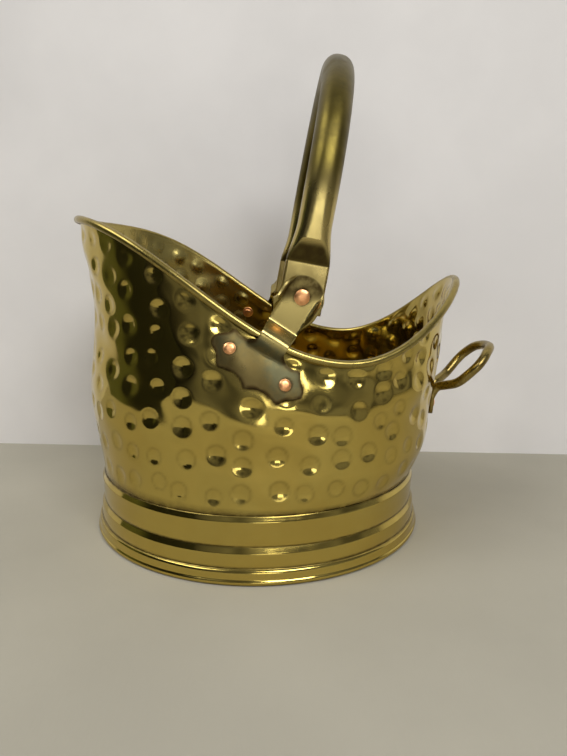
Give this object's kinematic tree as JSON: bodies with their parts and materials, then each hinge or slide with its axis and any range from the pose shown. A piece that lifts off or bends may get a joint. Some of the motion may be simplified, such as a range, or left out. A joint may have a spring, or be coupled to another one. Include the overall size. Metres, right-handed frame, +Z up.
{
  "type": "coal scuttle",
  "caption": "Hammered brass coal scuttle with a swept helmet mouth, a stepped round plinth, a swinging tubular bail on scalloped riveted ears and a fixed rear loop handle.",
  "frame": {"origin": "centre of the foot ring on the floor", "axes": "+Z up from the floor, -X towards the pouring lip, +X towards the rear handle, -Y the side the picture shows"},
  "size_m": [0.3224, 0.26, 0.3517],
  "materials": {
    "hammered_brass": "polished, hammered, lightly tarnished",
    "brass_floor": "dull, toned orange-brown",
    "spun_brass": "spun and polished, lightly tarnished",
    "ear_brass": "brushed, lightly tarnished",
    "bail_brass": "satin, tarnished",
    "handle_brass": "satin, tarnished",
    "copper": "polished copper",
    "steel_wire": "drawn wire"
  },
  "bodies": {
    "scuttle": {"body_shell": "hammered_brass", "rim_wire": "steel_wire", "floor_pan": "brass_floor", "plinth": "spun_brass", "foot_wire": "steel_wire", "near_ear": "ear_brass", "far_ear": "ear_brass", "near_ear_rivets": "copper", "far_ear_rivets": "copper", "near_ear_burrs": "copper", "far_ear_burrs": "copper", "near_pivot_rivet": "copper", "far_pivot_rivet": "copper", "near_pivot_burr": "copper", "far_pivot_burr": "copper", "rear_handle": "handle_brass", "rear_handle_rivets": "copper", "rear_handle_burrs": "copper"},
    "bail": {"bail": "bail_brass"}
  },
  "joints": [
    {"name": "bail_swing", "type": "hinge", "parent": "scuttle", "child": "bail", "pos_m": [0.0288, 0, 0.183], "axis": [-0.0663, 0.9978, 0], "range_deg": [-76, 90]}
  ]
}
